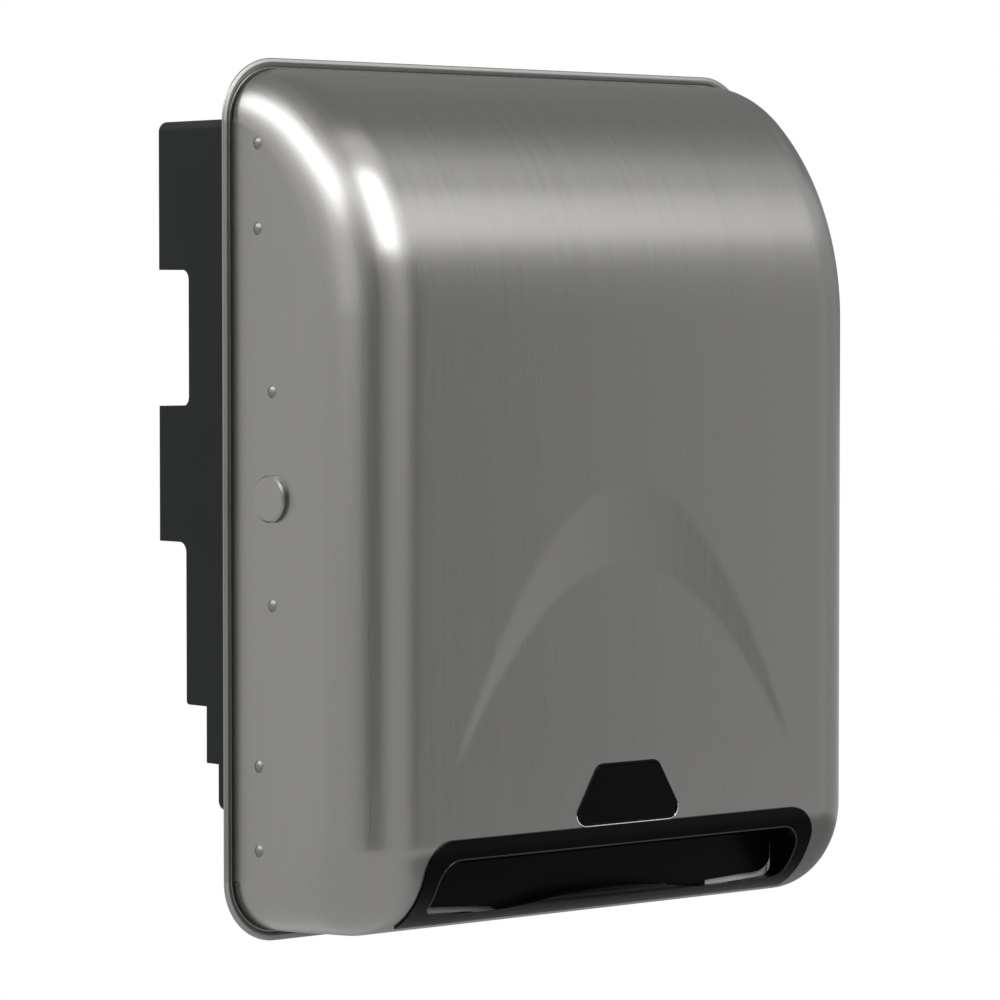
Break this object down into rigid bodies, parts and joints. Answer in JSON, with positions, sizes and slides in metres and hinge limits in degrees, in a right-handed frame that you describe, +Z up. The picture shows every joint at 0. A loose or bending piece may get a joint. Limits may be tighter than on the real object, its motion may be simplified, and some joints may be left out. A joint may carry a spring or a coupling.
{
  "type": "automatic roll towel dispenser",
  "caption": "Semi-recessed automatic roll towel dispenser with a brushed stainless hinged cover, hands-free sensor window, black paper mouth, drive rollers and a moulded recessed tub.",
  "frame": {"origin": "centre of the wall screw pattern, on the face of the wall", "axes": "+X to the right seen from the front, +Y into the wall, +Z up"},
  "size_m": [0.3378, 0.2042, 0.4166],
  "materials": {
    "stainless_cover": "vertical brushed grain, satin",
    "bright_steel": "polished",
    "zinc_steel": "zinc plated",
    "blade_steel": "ground",
    "lens_black": "smoked, glossy",
    "bezel_black": "glossy",
    "tub_black": "satin moulded",
    "guide_black": "satin moulded",
    "arm_grey": "fine texture",
    "hub_blue": "satin moulded",
    "acetal_white": "smooth",
    "feed_rubber": "matt",
    "seal_rubber": "matt",
    "wheel_green": "satin moulded",
    "motor_steel": "plated can",
    "pinion_brass": "machined",
    "board_green": "solder mask",
    "eye_clear": "clear epoxy",
    "box_grey": "satin moulded",
    "cell_jacket": "plain jacket",
    "contact_nickel": "nickel plated",
    "knob_white": "smooth",
    "button_green": "smooth",
    "lead_red": "jacket",
    "lead_grey": "jacket"
  },
  "bodies": {
    "housing": {"rear_housing": "tub_black", "hinge_brackets": "zinc_steel", "hinge_pins": "bright_steel", "lock_keeper": "zinc_steel", "bracket_screws": "zinc_steel", "right_roll_arm": "arm_grey", "arm_bracket": "zinc_steel", "arm_pin": "bright_steel", "left_frame_plate": "zinc_steel", "right_frame_plate": "zinc_steel", "rear_channel": "zinc_steel", "roller_bushes": "acetal_white", "idler_axle": "bright_steel", "motor": "motor_steel", "paper_guide": "guide_black", "tear_bar": "blade_steel", "blade_screws": "zinc_steel", "front_beam": "guide_black", "sensor_board": "board_green", "sensor_eyes": "eye_clear", "battery_box": "box_grey", "battery_cells": "cell_jacket", "battery_contacts": "contact_nickel", "control_board": "board_green", "control_cover": "box_grey", "motor_lead": "lead_red", "sensor_lead": "lead_grey"},
    "cover": {"cover_shell": "stainless_cover", "cover_rivets": "bright_steel", "plug_button": "bright_steel", "lock_plates": "zinc_steel", "hinge_leaves": "zinc_steel", "lock_body": "bright_steel", "lock_nut": "zinc_steel", "sensor_window": "lens_black", "window_seal": "seal_rubber", "mouth_bezel": "bezel_black"},
    "lock_cam_set": {"lock_core": "bright_steel", "lock_cam": "zinc_steel", "cam_screw": "zinc_steel"},
    "left_arm": {"left_roll_arm": "arm_grey", "arm_spring": "bright_steel"},
    "left_hub_set": {"left_hub": "hub_blue"},
    "right_hub_set": {"right_hub": "hub_blue"},
    "drive_roller": {"drive_shaft": "bright_steel", "drive_sleeves": "feed_rubber", "drive_gear": "acetal_white", "hand_wheel": "wheel_green"},
    "pinch_roller": {"pinch_shaft": "bright_steel", "pinch_rollers": "feed_rubber"},
    "idler": {"idler_gear": "acetal_white"},
    "motor_rotor": {"motor_pinion": "pinion_brass"},
    "battery_lid": {"battery_door": "box_grey"},
    "length_switch": {"length_switch_knob": "knob_white"},
    "delay_switch": {"delay_switch_knob": "knob_white"},
    "feed_key": {"feed_button": "button_green"}
  },
  "joints": [
    {"name": "cover_swing", "type": "hinge", "parent": "housing", "child": "cover", "pos_m": [-0.156, -0.0215, 0.0025], "axis": [0, 0, -1], "range_deg": [0, 95]},
    {"name": "lock_turn", "type": "hinge", "parent": "cover", "child": "lock_cam_set", "pos_m": [0.16314, -0.0355, 0.0025], "axis": [0.9995, -0.0314, 0], "range_deg": [0, 90]},
    {"name": "left_arm_swing", "type": "hinge", "parent": "housing", "child": "left_arm", "pos_m": [-0.1135, 0.062, 0.074], "axis": [0, 0, -1], "range_deg": [0, 9], "stiffness_Nm_per_rad": 1.5, "springref_deg": -17.19},
    {"name": "left_hub_spin", "type": "hinge", "parent": "left_arm", "child": "left_hub_set", "pos_m": [-0.1, 0.002, 0.074], "axis": [1, 0, 0], "continuous": true},
    {"name": "right_hub_spin", "type": "hinge", "parent": "housing", "child": "right_hub_set", "pos_m": [0.1, 0.002, 0.074], "axis": [1, 0, 0], "continuous": true},
    {"name": "drive_roller_spin", "type": "hinge", "parent": "housing", "child": "drive_roller", "pos_m": [0, -0.05, -0.128], "axis": [1, 0, 0], "continuous": true},
    {"name": "pinch_roller_spin", "type": "hinge", "parent": "housing", "child": "pinch_roller", "pos_m": [0, -0.06955, -0.12089], "axis": [1, 0, 0], "continuous": true},
    {"name": "idler_spin", "type": "hinge", "parent": "housing", "child": "idler", "pos_m": [0.118, -0.02734, -0.11743], "axis": [1, 0, 0], "continuous": true},
    {"name": "motor_spin", "type": "hinge", "parent": "housing", "child": "motor_rotor", "pos_m": [0.118, -0.01541, -0.1004], "axis": [1, 0, 0], "continuous": true},
    {"name": "battery_lid_swing", "type": "hinge", "parent": "housing", "child": "battery_lid", "pos_m": [-0.003, 0.0428, -0.0256], "axis": [-1, 0, 0], "range_deg": [0, 100]},
    {"name": "length_switch_slide", "type": "slide", "parent": "housing", "child": "length_switch", "axis": [1, 0, 0], "range_m": [0, 0.005]},
    {"name": "delay_switch_slide", "type": "slide", "parent": "housing", "child": "delay_switch", "axis": [1, 0, 0], "range_m": [0, 0.005]},
    {"name": "feed_button_press", "type": "slide", "parent": "housing", "child": "feed_key", "axis": [0, 1, 0], "range_m": [0, 0.0015], "stiffness_N_per_m": 600, "springref_m": -0.0006}
  ],
  "couplings": [
    {"joint": "pinch_roller_spin", "follows": "drive_roller_spin", "ratio": -1.7333},
    {"joint": "idler_spin", "follows": "drive_roller_spin", "ratio": -2.5714},
    {"joint": "motor_spin", "follows": "drive_roller_spin", "ratio": 8.5714}
  ]
}
